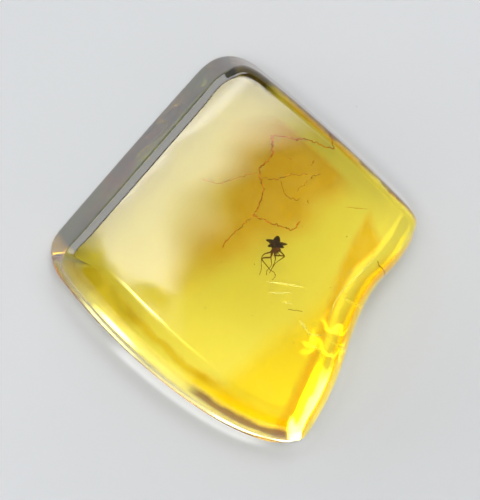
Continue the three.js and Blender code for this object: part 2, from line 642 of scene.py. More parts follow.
class Gather:
    """Several closed shapes gathered into one mesh."""

    def __init__(self) -> None:
        """Start with nothing."""
        self.points: list[np.ndarray] = []
        self.faces: list[tuple[int, ...]] = []
        self.marks: list[np.ndarray] = []
        self.count = 0

    def add(self, points: np.ndarray, faces: Iterable[Sequence[int]], mark: np.ndarray | float = 0.0) -> None:
        """Add one shape.

        Args:
            points: Its points, one row each.
            faces: Corner indices of its faces, counted from its own first point.
            mark: One number for the shape, or one for each of its points.
        """
        self.faces += [tuple(corner + self.count for corner in face) for face in faces]
        self.points.append(np.asarray(points, dtype=float))
        self.marks.append(np.broadcast_to(np.asarray(mark, dtype=float), (len(points),)))
        self.count += len(points)

    def tube(self, route: np.ndarray, radii: np.ndarray, sides: int = 8, flatten: float = 1.0) -> None:
        """Add a closed tube.

        Args:
            route: Its centre line, one point a row.
            radii: Its radius at each point.
            sides: Corners of its section.
            flatten: Its height, as a share of its width.
        """
        route = np.asarray(route, dtype=float)
        along = np.gradient(route, axis=0)
        along /= np.linalg.norm(along, axis=1)[:, None] + 1e-12
        guide = np.array([0.0, 0.0, 1.0])
        across = np.cross(along, guide)
        weak = np.linalg.norm(across, axis=1) < 0.15
        across[weak] = np.cross(along[weak], np.array([1.0, 0.0, 0.0]))
        across /= np.linalg.norm(across, axis=1)[:, None]
        upright = np.cross(across, along)
        turns = np.linspace(0.0, 2 * math.pi, sides, endpoint=False)
        rings = [
            point + radius * (np.cos(turns)[:, None] * a + np.sin(turns)[:, None] * b * flatten)
            for point, radius, a, b in zip(route, radii, across, upright)
        ]
        points = np.concatenate([route[:1], *rings, route[-1:]])
        self.add(points, ring_faces(len(rings), sides))

    def build(self, name: str) -> bpy.types.Object:
        """Make the gathered mesh, with its marks stored as "cover".

        Args:
            name: The object's name.

        Returns:
            The object.
        """
        thing = add_mesh(name, np.concatenate(self.points), self.faces)
        store(thing, "cover", np.concatenate(self.marks))
        return thing


def smooth_route(points: Sequence[Numbers], steps: int = 8) -> np.ndarray:
    """Run a smooth curve through chosen points.

    Args:
        points: The points that the curve passes.
        steps: Pieces between each two points.

    Returns:
        Points along a Catmull-Rom curve.
    """
    chosen = np.asarray(points, dtype=float)
    padded = np.vstack([2 * chosen[0] - chosen[1], chosen, 2 * chosen[-1] - chosen[-2]])
    curve = []
    for i in range(len(chosen) - 1):
        a, b, c, d = padded[i : i + 4]
        for t in np.linspace(0.0, 1.0, steps, endpoint=False):
            bend, twist = 2 * a - 5 * b + 4 * c - d, 3 * b - a - 3 * c + d
            curve.append(0.5 * (2 * b + (c - a) * t + bend * t**2 + twist * t**3))
    curve.append(chosen[-1])
    return np.array(curve)


# ---- The stone ---------------------------------------------------------------------------------


@dataclass(frozen=True)
class Corner:
    """Where two ground sides would meet if they were sharp, and the bow of the side that follows."""

    x: float
    y: float
    ease_in: float
    ease_out: float
    bow: float


@dataclass(frozen=True)
class EdgeWork:
    """How one side's edge is worked: its wall's lean, its top edge and its rounded foot.

    bevel is 0 where the top edge is rounded and 1 where it is a flat bevel.
    """

    side: Side
    lean: float
    rounding: float
    drop: float
    bevel: float
    foot_round: float
    foot_rise: float

    def numbers(self) -> np.ndarray:
        """Give the sizes in one row."""
        return np.array([self.lean, self.rounding, self.drop, self.bevel, self.foot_round, self.foot_rise])


@dataclass(frozen=True)
class EdgeLine:
    """The worked edge at every point of the outline."""

    lean: np.ndarray
    rounding: np.ndarray
    drop: np.ndarray
    bevel: np.ndarray
    foot_round: np.ndarray
    foot_rise: np.ndarray


@dataclass(frozen=True)
class Outline:
    """The stone's outline, clockwise, with its outward directions and side shares."""

    points: np.ndarray
    outward: np.ndarray
    facing: np.ndarray
    reach: np.ndarray


@dataclass
class Tablet:
    """The amber itself: one closed body lofted from rings of the same outline."""

    corners: tuple[Corner, ...] = (
        Corner(-0.6, 17.85, 3.5, 3.75, 0.45),
        Corner(16.05, 2.85, 2.35, 1.8, 0.9),
        Corner(10.65, -3.65, 2.8, 4.8, 0.9),
        Corner(5.85, -16.55, 2.2, 0.4, 0.45),
        Corner(0.2, -15.65, 4.75, 5.7, 1.25),
        Corner(-16.4, 0.0, 2.95, 2.25, 0.1),
    )
    edges: tuple[EdgeWork, ...] = (
        EdgeWork(Side.UPPER_RIGHT, 0.3, 0.9, 1.6, 0.0, 0.6, 0.6),
        EdgeWork(Side.UPPER_LEFT, 0.8, 0.6, 0.5, 1.0, 0.5, 0.5),
        EdgeWork(Side.LOWER_LEFT, 0.45, 3.4, 4.2, 0.0, 2.0, 2.2),
        EdgeWork(Side.LOWER_RIGHT, 0.5, 1.6, 3.0, 0.0, 0.8, 0.8),
    )
    edge_change_share: float = 0.5
    dome_radius: float = 75.0
    around: int = 480
    ease_steps: int = 2
    steps_in_curve: int = 160
    base_steps: int = 16
    foot_steps: int = 12
    wall_steps: int = 12
    edge_steps: int = 18
    dome_steps: int = 40
    polish_wave: float = 0.012
    arris_width: float = 0.07

    def side_curve(self, index: int) -> tuple[np.ndarray, float, float]:
        """Work out one ground side.

        Args:
            index: The corner that the side starts from.

        Returns:
            The three control points of its bow, and the shares at which it starts and ends.
        """
        here = self.corners[index]
        after = self.corners[(index + 1) % len(self.corners)]
        start, end = np.array([here.x, here.y]), np.array([after.x, after.y])
        length = float(np.linalg.norm(end - start))
        along = (end - start) / length
        outward = np.array([-along[1], along[0]])
        control = (start + end) / 2 + outward * 2 * here.bow
        return np.array([start, control, end]), here.ease_out / length, 1 - after.ease_in / length

    def outline(self) -> Outline:
        """Work out the whole outline at even steps, centred on its own box.

        Returns:
            The outline.
        """
        sides = [self.side_curve(i) for i in range(len(self.corners))]
        dense: list[np.ndarray] = []
        shares = np.linspace(0.0, 1.0, self.steps_in_curve, endpoint=False)[:, None]
        for i, (bow, first, last) in enumerate(sides):
            before, _, before_last = sides[i - 1]
            leave, leave_along = bow_point(before, before_last), bow_slope(before, before_last)
            join, join_along = bow_point(bow, first), bow_slope(bow, first)
            gap = join - leave
            reach = cross(gap, join_along) / cross(leave_along, join_along)
            dense.append(bow_point(np.array([leave, leave + leave_along * reach, join]), shares))
            dense.append(bow_point(bow, first + (last - first) * shares))
        points = np.concatenate(dense)
        points -= (points.max(axis=0) + points.min(axis=0)) / 2
        points = ease_round(even_steps(points, self.around), self.ease_steps)
        along = np.roll(points, -1, axis=0) - np.roll(points, 1, axis=0)
        outward = ease_round(np.stack([-along[:, 1], along[:, 0]], axis=1), self.ease_steps)
        outward /= np.linalg.norm(outward, axis=1)[:, None]
        facing = np.degrees(np.arctan2(outward[:, 1], outward[:, 0])) % 360
        reach = ease_round((points * outward).sum(axis=1), 2 * self.ease_steps)
        return Outline(points, outward, facing, reach)

    def side_share(self, facing: np.ndarray, side: Side) -> np.ndarray:
        """Work out how far each point belongs to one side.

        Args:
            facing: The way each point of the outline faces, in degrees.
            side: The side.

        Returns:
            A share from 0 to 1 for each point.
        """
        order = [edge.side for edge in self.edges]
        index = order.index(side)
        share = np.zeros_like(facing)
        margin = (1 - self.edge_change_share) / 2
        for step, other in ((1, order[(index + 1) % 4]), (-1, order[index - 1])):
            span = (step * (other.value - side.value)) % 360
            turned = (step * (facing - side.value)) % 360
            inside = turned < span
            share[inside] = 1 - smooth_rise(turned[inside] / span, margin, 1 - margin)
        return share

    def dome(self, points: np.ndarray, crown: float) -> np.ndarray:
        """Work out the height of the domed face.

        Args:
            points: Level points.
            crown: Height of the middle of the face.

        Returns:
            The height over each point.
        """
        x, y = points[:, 0], points[:, 1]
        wave = np.sin(0.81 * x + 0.35 * y) + np.sin(0.28 * x - 0.77 * y + 1.9) + np.sin(1.3 * y + 0.4 * x)
        calm = smooth_rise(np.hypot(x, y), 12.0, 8.0)
        return crown - (x * x + y * y) / (2 * self.dome_radius) + self.polish_wave * calm * (wave - 1.0)

    def build(self, finish: Resin) -> bpy.types.Object:
        """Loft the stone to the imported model's box and dress it.

        Args:
            finish: The resin.

        Returns:
            The stone.
        """
        low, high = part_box(STONE_NODE)
        crown = high.z / MM
        line = self.outline()
        shares = {edge.side: self.side_share(line.facing, edge.side) for edge in self.edges}
        work = EdgeLine(*sum(shares[edge.side][:, None] * edge.numbers() for edge in self.edges).T)
        rings: list[np.ndarray] = []
        kinds: list[tuple[float, float, float]] = []

        def ring(inset: np.ndarray, height: np.ndarray | None, *kind: float) -> None:
            """Add one ring.

            Args:
                inset: How far it is drawn in, at each point.
                height: Its height at each point, or None to lie on the domed face.
                kind: How far it is base, wall and face.
            """
            level = line.points * (1 - inset / line.reach)[:, None]
            rings.append(np.column_stack([level, self.dome(level, crown) if height is None else height]))
            kinds.append(kind)

        flat = np.zeros(self.around)
        for k in range(1, self.base_steps):
            share = k / self.base_steps
            ring(line.reach * (1 - share) + work.foot_round * share, flat, 1.0, 0.0, 0.0)
        for k in range(self.foot_steps + 1):
            turn = k / self.foot_steps * math.pi / 2
            inset = work.foot_round * (1 - math.sin(turn))
            ring(inset, work.foot_rise * (1 - math.cos(turn)), float(k == 0), float(turn > 0.4), 0.0)
        inset_top, height_top = self.edge_ring(line, work, 0.0, crown)
        for k in range(1, self.wall_steps):
            share = k / self.wall_steps
            ring(inset_top * share, work.foot_rise + (height_top - work.foot_rise) * share, 0.0, 1.0, 0.0)
        for k in range(self.edge_steps + 1):
            turn = k / self.edge_steps
            ring(*self.edge_ring(line, work, turn, crown), 0.0, float(k == 0), turn * 0.95)
        ring(work.lean + work.rounding + self.arris_width, None, 0.0, 0.0, 1.0)
        face = rings[-1][:, :2]
        for k in range(1, self.dome_steps):
            level = face * (1 - k / self.dome_steps)
            rings.append(np.column_stack([level, self.dome(level, crown)]))
            kinds.append((0.0, 0.0, 1.0))

        crest = float(self.dome(np.zeros((1, 2)), crown)[0])
        points = np.concatenate([[[0.0, 0.0, 0.0]], *rings, [[0.0, 0.0, crest]]])
        points = fit_box(points, np.array(low) / MM, np.array(high) / MM)
        stone = add_mesh("amber_stone", points, ring_faces(len(rings), self.around))
        spread = np.repeat(np.array(kinds), self.around, axis=0)
        spread = np.vstack([[1.0, 0.0, 0.0], spread, [0.0, 0.0, 1.0]])
        for name, column in zip(("base", "wall", "face"), spread.T):
            store(stone, name, column)
        for side, share in shares.items():
            around = np.concatenate([[0.0], np.tile(share, len(rings)), [0.0]])
            store(stone, side.name.lower(), around)
        insets = self.insets(points, line)
        store(stone, "inset", insets)
        return settle(stone, finish.material(), [STONE_NODE])

    @staticmethod
    def insets(points: np.ndarray, line: Outline) -> np.ndarray:
        """Work out how far each point lies inside the outline.

        Args:
            points: The stone's points.
            line: The outline.

        Returns:
            Millimetres in from the outline, one number for each point.
        """
        rows = (len(points) - 2) // len(line.points)
        level = points[1:-1, :2].reshape(rows, len(line.points), 2)
        scale = np.linalg.norm(level, axis=2) / np.linalg.norm(line.points, axis=1)
        inset = (line.reach * (1 - scale)).ravel()
        middle = float(line.reach.min())
        return np.concatenate([[middle], inset, [middle]])

    def edge_ring(
        self, line: Outline, work: EdgeLine, turn: float, crown: float
    ) -> tuple[np.ndarray, np.ndarray]:
        """Work out one ring of the top edge.

        Args:
            line: The outline.
            work: The worked edge at every point.
            turn: 0 at the wall and 1 at the face.
            crown: Height of the middle of the face.

        Returns:
            The ring's inset and its height, at each point.
        """
        angle = turn * math.pi / 2
        across = (1 - math.cos(angle)) * (1 - work.bevel) + turn * work.bevel
        fall = (1 - math.sin(angle)) * (1 - work.bevel) + (1 - turn) * work.bevel
        inset = work.lean + work.rounding * across
        level = line.points * (1 - inset / line.reach)[:, None]
        return inset, self.dome(level, crown) - work.drop * fall


def cross(a: np.ndarray, b: np.ndarray) -> float:
    """Give the cross product of two level vectors."""
    return float(a[0] * b[1] - a[1] * b[0])


def bow_point(bow: np.ndarray, share: np.ndarray | float) -> np.ndarray:
    """Give the point at a share along a quadratic bow."""
    return (1 - share) ** 2 * bow[0] + 2 * share * (1 - share) * bow[1] + share**2 * bow[2]


def bow_slope(bow: np.ndarray, share: float) -> np.ndarray:
    """Give the unit tangent at a share along a quadratic bow."""
    slope = 2 * (1 - share) * (bow[1] - bow[0]) + 2 * share * (bow[2] - bow[1])
    return slope / np.linalg.norm(slope)


def even_steps(points: np.ndarray, count: int) -> np.ndarray:
    """Space points evenly round a closed line.

    Args:
        points: The line's points.
        count: How many points to return.

    Returns:
        The evenly spaced points.
    """
    closed = np.vstack([points, points[:1]])
    run = np.concatenate([[0.0], np.cumsum(np.linalg.norm(np.diff(closed, axis=0), axis=1))])
    wanted = np.linspace(0.0, run[-1], count, endpoint=False)
    return np.stack([np.interp(wanted, run, closed[:, 0]), np.interp(wanted, run, closed[:, 1])], axis=1)


def fit_box(points: np.ndarray, low: np.ndarray, high: np.ndarray) -> np.ndarray:
    """Bring points exactly into a box.

    Args:
        points: The points, already within a hair of the box.
        low: The box's lowest corner.
        high: The box's highest corner.

    Returns:
        The fitted points.
    """
    own_low, own_high = points.min(axis=0), points.max(axis=0)
    return low + (points - own_low) * (high - low) / (own_high - own_low)


def ease_round(values: np.ndarray, steps: int) -> np.ndarray:
    """Average values over a few neighbours round a closed line.

    Args:
        values: One row or number for each point.
        steps: How many neighbours on each side.

    Returns:
        The eased values.
    """
    turned = [np.roll(values, step, axis=0) for step in range(-steps, steps + 1)]
    return sum(turned) / len(turned)


# ---- The fly -----------------------------------------------------------------------------------


@dataclass(frozen=True)
class Limb:
    """One leg: its joints in the fly's own directions and how thick it starts."""

    joints: tuple[tuple[float, float, float], ...]
    start: float = 0.062
    end: float = 0.022


@dataclass
class Fly:
    """A small long-legged fly: humped thorax, tapering abdomen, hanging head and six thin legs.

    Its own directions are right, up and towards the viewer, in millimetres from its thorax.
    """

    at: tuple[float, float, float] = (3.0, 1.0, 5.0)
    thorax: tuple[float, float, float] = (0.44, 0.33, 0.42)
    abdomen: tuple[tuple[float, float, float], ...] = (
        (0.02, 0.05, -0.15), (0.10, 0.28, -0.45), (0.18, 0.45, -0.75), (0.27, 0.60, -1.1),
    )
    abdomen_radius: float = 0.31
    segments: int = 7
    head: tuple[float, float, float] = (0.08, -0.36, 0.22)
    head_radii: tuple[float, float, float] = (0.27, 0.24, 0.22)
    eye_radius: float = 0.16
    wing_tips: tuple[tuple[float, float, float], ...] = ((-0.80, 0.40, -0.45), (1.0, 0.0, -0.35))
    hind_tips: tuple[tuple[float, float, float], ...] = ((-0.66, -0.12, -0.3), (0.72, -0.28, -0.3))
    wing_width: float = 0.34
    wing_thickness: float = 0.012
    limbs: tuple[Limb, ...] = (
        Limb(((-0.20, -0.20, 0.1), (-0.42, -0.55, 0.2), (-0.94, -0.68, 0.25), (-1.14, -0.90, 0.2),
              (-1.19, -1.16, 0.1), (-1.16, -1.92, -0.05), (-1.31, -2.41, -0.1))),
        Limb(((-0.15, -0.25, 0.2), (-0.42, -0.96, 0.45), (-1.06, -0.98, 0.5), (-1.17, -1.13, 0.5),
              (-0.42, -2.04, 0.3), (-0.12, -2.21, 0.25), (-0.02, -2.47, 0.2), (-0.06, -2.62, 0.2),
              (-0.27, -2.86, 0.15))),
        Limb(((-0.10, -0.25, 0.1), (-0.37, -0.65, 0.1), (-0.39, -1.07, 0.05), (-0.31, -1.62, 0.0),
              (-0.73, -2.10, -0.05), (-0.73, -2.47, -0.1))),
        Limb(((-0.05, -0.30, 0.25), (-0.15, -0.59, 0.35), (-0.03, -1.07, 0.35), (-0.12, -1.44, 0.3),
              (-0.37, -1.98, 0.2), (-0.46, -2.16, 0.15))),
        Limb(((0.20, -0.20, 0.2), (0.37, -0.52, 0.3), (0.70, -0.84, 0.3), (0.73, -0.96, 0.28),
              (0.00, -1.44, 0.1), (-0.34, -1.98, 0.0))),
        Limb(((0.00, -0.40, 0.0), (-0.06, -0.86, 0.0), (0.66, -0.90, -0.1), (0.67, -1.00, -0.12),
              (-0.05, -1.52, -0.2), (-0.37, -2.10, -0.3), (-0.50, -2.30, -0.3))),
    )
    bristles: int = 60
    bristle_length: float = 0.16
    seed: int = 11

    def place(self, points: np.ndarray) -> np.ndarray:
        """Bring points from the fly's own directions into the stone's frame."""
        return np.asarray(points, dtype=float) + np.array(self.at)

    def build(self, skin: Chitin, legs: Chitin, film: Membrane) -> list[bpy.types.Object]:
        """Build and dress the fly.

        Args:
            skin: The finish of its body.
            legs: The finish of its legs, head and bristles.
            film: The finish of its wings.

        Returns:
            Its pieces.
        """
        skin_material, leg_material = skin.material(), legs.material()
        return [
            settle(self.build_body(), skin_material),
            settle(self.build_head(), leg_material),
            settle(self.build_legs(), leg_material),
            settle(self.build_wings(), film.material()),
            settle(self.build_bristles(), leg_material),
        ]

    def build_body(self) -> bpy.types.Object:
        """Model the thorax, its shield and the ringed abdomen.

        Returns:
            The piece.
        """
        body = Gather()
        points, faces = egg(np.zeros(3), self.thorax, lumps=0.22, seed=self.seed)
        body.add(self.place(points), faces)
        shield = np.array([-0.02, 0.20, 0.12])
        points, faces = egg(shield, (0.30, 0.20, 0.26), lumps=0.08, seed=self.seed + 1)
        body.add(self.place(points), faces)
        route = smooth_route(self.abdomen, 24)
        share = np.linspace(0.0, 1.0, len(route))
        belly = np.sqrt(np.clip(1 - share**1.8, 0.0, 1.0)) * (0.55 + 0.45 * smooth_rise(share, 0.0, 0.25))
        rings = 1 - 0.10 * np.abs(np.sin(share * math.pi * self.segments)) ** 6
        body.tube(self.place(route), self.abdomen_radius * belly * rings + 0.02, 24, 0.85)
        for side in (-1, 1):
            knob = smooth_route(
                [(0.25 * side, 0.1, -0.15), (0.42 * side, 0.12, -0.32), (0.50 * side, 0.14, -0.42)]
            )
            body.tube(self.place(knob), np.linspace(0.018, 0.05, len(knob)), 8)
        return body.build("fly_body")

    def build_head(self) -> bpy.types.Object:
        """Model the head with its eyes, feelers and mouth.

        Returns:
            The piece.
        """
        head = Gather()
        centre = np.array(self.head)
        points, faces = egg(centre, self.head_radii, lumps=0.05, seed=self.seed + 2)
        head.add(self.place(points), faces)
        for side in (-1, 1):
            eye = centre + np.array([0.17 * side, -0.03, 0.08])
            points, faces = egg(eye, (self.eye_radius,) * 3, lumps=0.02, seed=self.seed + 3, waves=26.0)
            head.add(self.place(points), faces)
            bends = ((0.06 * side, -0.15, 0.15), (0.13 * side, -0.32, 0.28), (0.28 * side, -0.46, 0.3))
            feeler = smooth_route([centre + bend for bend in bends])
            beads = 0.024 * (1 + 0.25 * np.sin(np.linspace(0.0, 9 * 2 * math.pi, len(feeler))))
            head.tube(self.place(feeler), beads, 8)
        bends = ((0.0, -0.18, 0.05), (0.0, -0.34, 0.06), (0.01, -0.42, 0.04))
        mouth = smooth_route([centre + bend for bend in bends])
        head.tube(self.place(mouth), np.linspace(0.07, 0.03, len(mouth)), 10)
        return head.build("fly_head")

    def build_legs(self) -> bpy.types.Object:
        """Model the six legs, thick at the thigh, with jointed feet.

        Returns:
            The piece.
        """
        legs = Gather()
        for limb in self.limbs:
            route = jointed_route(limb.joints, 7)
            share = np.linspace(0.0, 1.0, len(route))
            radii = limb.start + (limb.end - limb.start) * smooth_rise(share, 0.05, 0.7)
            beads = 1 + 0.14 * smooth_rise(share, 0.6, 0.75) * np.sin(share * 90.0)
            legs.tube(self.place(route), radii * beads, 8)
        return legs.build("fly_legs")

    def build_wings(self) -> bpy.types.Object:
        """Model the four thin wings and the veins that stiffen them.

        Returns:
            The piece.
        """
        wings = Gather()
        root_rise = 0.16
        for tip, side in zip(self.wing_tips + self.hind_tips, (-1, 1, -1, 1)):
            root = np.array([0.18 * side, root_rise + 0.4 * (tip[1] - root_rise), 0.12])
            reach = np.array(tip) - root
            along = reach / np.linalg.norm(reach)
            across = np.cross(along, (0.0, -0.35 * side, 1.0))
            across /= np.linalg.norm(across)
            normal = np.cross(along, across)
            share = np.linspace(0.02, 1.0, 26)
            half = 0.5 * self.wing_width * np.sin(math.pi * np.clip(share, 0, 1) ** 0.55) ** 0.8
            spread = np.linspace(0.0, 2 * math.pi, 24, endpoint=False)
            rings = []
            for t, width in zip(share, half):
                crease = 0.03 * np.sin(6 * spread) * (1 - t)
                ring = root + reach * t + np.outer(np.cos(spread) * width, across)
                ring = ring + np.outer(np.sin(spread) * self.wing_thickness + crease, normal)
                rings.append(ring)
            points = np.concatenate([root[None], *rings, np.array(tip)[None]])
            wings.add(self.place(points), ring_faces(len(rings), 24))
            for offset in (-0.75, -0.3, 0.2, 0.7):
                middle = root + reach * 0.5 + across * offset * 0.5 * self.wing_width
                vein = smooth_route([root, middle, root + reach * 0.94 + across * offset * 0.06])
                wings.tube(self.place(vein), np.linspace(0.018, 0.009, len(vein)), 6)
        return wings.build("fly_wings")

    def build_bristles(self) -> bpy.types.Object:
        """Model the short stiff hairs that stand on the thorax.

        Returns:
            The piece.
        """
        rng = np.random.default_rng(self.seed)
        hairs = Gather()
        for _ in range(self.bristles):
            outward = rng.normal(size=3)
            outward /= np.linalg.norm(outward)
            foot = outward * np.array(self.thorax) * 0.95
            tip = foot + outward * self.bristle_length * rng.uniform(0.5, 1.0) + np.array([0.0, 0.03, -0.03])
            route = smooth_route([foot, (foot + tip) / 2, tip], 2)
            hairs.tube(self.place(route), np.linspace(0.010, 0.003, 5), 4)
        return hairs.build("fly_bristles")


def egg(
    centre: Numbers, radii: Numbers, lumps: float = 0.0, seed: int = 0, waves: float = 5.0, steps: int = 22
) -> tuple[np.ndarray, list[tuple[int, ...]]]:
    """Model an egg shape with a gently uneven skin.

    Args:
        centre: Its middle.
        radii: Its half sizes.
        lumps: How uneven it is, as a share of its size.
        seed: Which unevenness.
        waves: How close together the lumps are.
        steps: Rings from end to end.

    Returns:
        Its points and faces.
    """
    around = 2 * steps
    turns = np.linspace(0.0, 2 * math.pi, around, endpoint=False)
    rows = [np.array([[0.0, -1.0, 0.0]])]
    for k in range(1, steps):
        angle = math.pi * k / steps
        wide, end = math.sin(angle), np.full(around, -math.cos(angle))
        rows.append(np.stack([np.cos(turns) * wide, end, np.sin(turns) * wide], 1))
    rows.append(np.array([[0.0, 1.0, 0.0]]))
    unit = np.concatenate(rows)
    rng = np.random.default_rng(seed)
    skin = np.zeros(len(unit))
    for _ in range(6):
        skin += np.sin(unit @ rng.normal(size=3) * waves + rng.uniform(0, 6.28)) / 6
    points = np.asarray(centre) + unit * (1 + lumps * skin)[:, None] * np.asarray(radii)
    return points, ring_faces(steps - 1, around)


def jointed_route(points: Sequence[Numbers], steps: int) -> np.ndarray:
    """Run nearly straight between joints, rounding each joint slightly.

    Args:
        points: The joints.
        steps: Pieces between each two joints.

    Returns:
        Points along the route.
    """
    chosen = np.asarray(points, dtype=float)
    soft = [chosen[0]]
    for before, here, after in zip(chosen[:-2], chosen[1:-1], chosen[2:]):
        soft += [here + (before - here) * 0.16, here + (after - here) * 0.16]
    soft.append(chosen[-1])
    return smooth_route(soft, max(2, steps // 2))


# ---- Cracks, flow layers and specks ------------------------------------------------------------


@dataclass(frozen=True)
class Crack:
    """One stained crack: its route across the stone, its height and its half width."""

    route: Route
    height: float
    half_width: float
    raggedness: float = 0.07


def shift_route(route: Route, rng: np.random.Generator, raggedness: float, steps: int = 10) -> np.ndarray:
    """Make a route ragged.

    Args:
        route: The chosen points.
        rng: Random numbers.
        raggedness: How far it strays.
        steps: Pieces between each two points.

    Returns:
        Level points, strayed.
    """
    line = smooth_route(route, steps)
    stray = rng.normal(size=line.shape)
    stray = (stray + np.roll(stray, 1, axis=0)) / 2
    ends = smooth_rise(np.minimum(np.arange(len(line)), np.arange(len(line))[::-1]), 0, 4)
    return line + stray * raggedness * ends[:, None]


@dataclass
class CrackNet:
    """The net of stained cracks round the fly's upper side, and its far thin branches."""

    seed: int = 23
    strong: tuple[Crack, ...] = (
        Crack(
            ((2.6, 10.2), (3.4, 10.1), (4.2, 10.0), (4.7, 9.8), (5.1, 9.9), (5.8, 9.8), (6.8, 9.3),
             (8.4, 8.8)),
            5.2,
            0.045,
        ),
        Crack(((2.7, 10.2), (2.75, 9.7), (2.7, 9.3), (2.8, 8.8), (2.6, 8.3)), 5.2, 0.075),
        Crack(
            ((2.6, 8.3), (2.3, 8.0), (1.7, 7.5), (1.7, 7.0), (1.7, 6.6), (1.9, 5.9), (1.9, 5.2), (1.7, 4.6),
             (1.3, 3.7), (1.1, 3.5)),
            5.1,
            0.05,
        ),
        Crack(((1.1, 3.5), (2.1, 3.1), (3.3, 2.6), (4.2, 2.3), (4.7, 2.5), (5.1, 3.0)), 5.0, 0.05),
        Crack(((1.1, 3.4), (0.6, 3.0), (0.0, 2.4), (-0.6, 1.9), (-1.1, 1.3), (-1.4, 0.8)), 5.0, 0.04),
    )
    fine: tuple[Crack, ...] = (
        Crack(((1.5, 7.1), (0.7, 6.9), (0.0, 6.7), (-0.8, 6.5), (-1.8, 6.3), (-3.2, 6.6)), 5.1, 0.032),
        Crack(((1.7, 6.6), (2.8, 6.5), (3.4, 6.6), (4.3, 6.9), (5.0, 6.9), (5.8, 6.9)), 5.1, 0.035),
        Crack(((6.9, 6.9), (6.2, 6.8), (5.9, 6.4)), 5.2, 0.03),
        Crack(((6.3, 8.1), (6.1, 7.9), (6.0, 7.5)), 5.2, 0.03),
        Crack(((4.0, 8.4), (4.4, 8.1)), 5.2, 0.03),
        Crack(((3.4, 6.4), (3.6, 5.6), (4.0, 5.0), (4.6, 4.8), (5.1, 4.9)), 5.1, 0.03),
        Crack(((4.8, 5.4), (5.1, 5.8), (5.4, 6.0), (5.7, 6.4)), 5.1, 0.025),
        Crack(((5.7, 4.8), (5.8, 4.4)), 5.1, 0.025),
        Crack(((8.9, 4.1), (10.8, 3.9)), 5.0, 0.02),
    )

    def build(self, strong: Stain, fine: Stain) -> list[bpy.types.Object]:
        """Build the cracks.

        Args:
            strong: The finish of the wide cracks.
            fine: The finish of the thin ones.

        Returns:
            The two pieces.
        """
        return [
            settle(self.net("cracks_wide", self.strong, 0), strong.material()),
            settle(self.net("cracks_thin", self.fine, 1), fine.material()),
        ]

    def net(self, name: str, cracks: Sequence[Crack], offset: int) -> bpy.types.Object:
        """Gather some cracks into one mesh.

        Args:
            name: The object's name.
            cracks: The cracks.
            offset: What is added to the seed of the random numbers.

        Returns:
            The piece.
        """
        rng = np.random.default_rng(self.seed + offset)
        gather = Gather()
        for crack in cracks:
            level = shift_route(crack.route, rng, crack.raggedness)
            waver = crack.height + 0.12 * np.sin(np.linspace(0.0, 5.0, len(level)))
            swell = 0.65 + 0.7 * rng.random(len(level))
            ends = smooth_rise(np.minimum(np.arange(len(level)), np.arange(len(level))[::-1]), -2, 4)
            gather.tube(np.column_stack([level, waver]), crack.half_width * swell * ends, 8, 1.0)
        return gather.build(name)


@dataclass(frozen=True)
class Wisp:
    """One faint band in the resin: its route, height and full width."""

    route: Route
    height: float
    width: float


